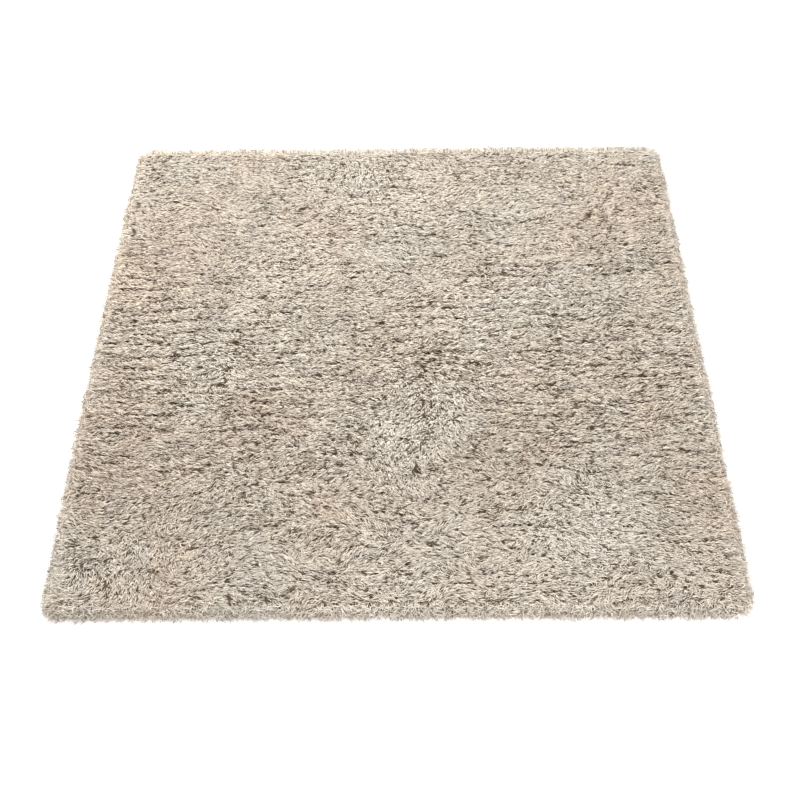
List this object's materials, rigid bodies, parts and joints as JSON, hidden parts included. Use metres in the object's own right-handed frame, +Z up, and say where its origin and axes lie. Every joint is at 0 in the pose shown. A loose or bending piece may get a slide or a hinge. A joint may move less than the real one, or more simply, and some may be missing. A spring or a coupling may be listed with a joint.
{
  "type": "shag rug",
  "caption": "Flat square shag rug with a deep beige yarn pile in wandering tufted rows and loose locks of yarn falling outward all round its rim.",
  "frame": {"origin": "middle of the flat underside, on the floor", "axes": "+Z up out of the pile, +X along the tufted rows to the right, the picture's near edge at -Y"},
  "size_m": [2, 2, 0.0486],
  "materials": {
    "shag_yarn": "long soft matte beige yarn pile, brushed in patches, on a woven backing of the same colour"
  },
  "bodies": {
    "root": {"shag_rug": "shag_yarn"}
  },
  "joints": []
}
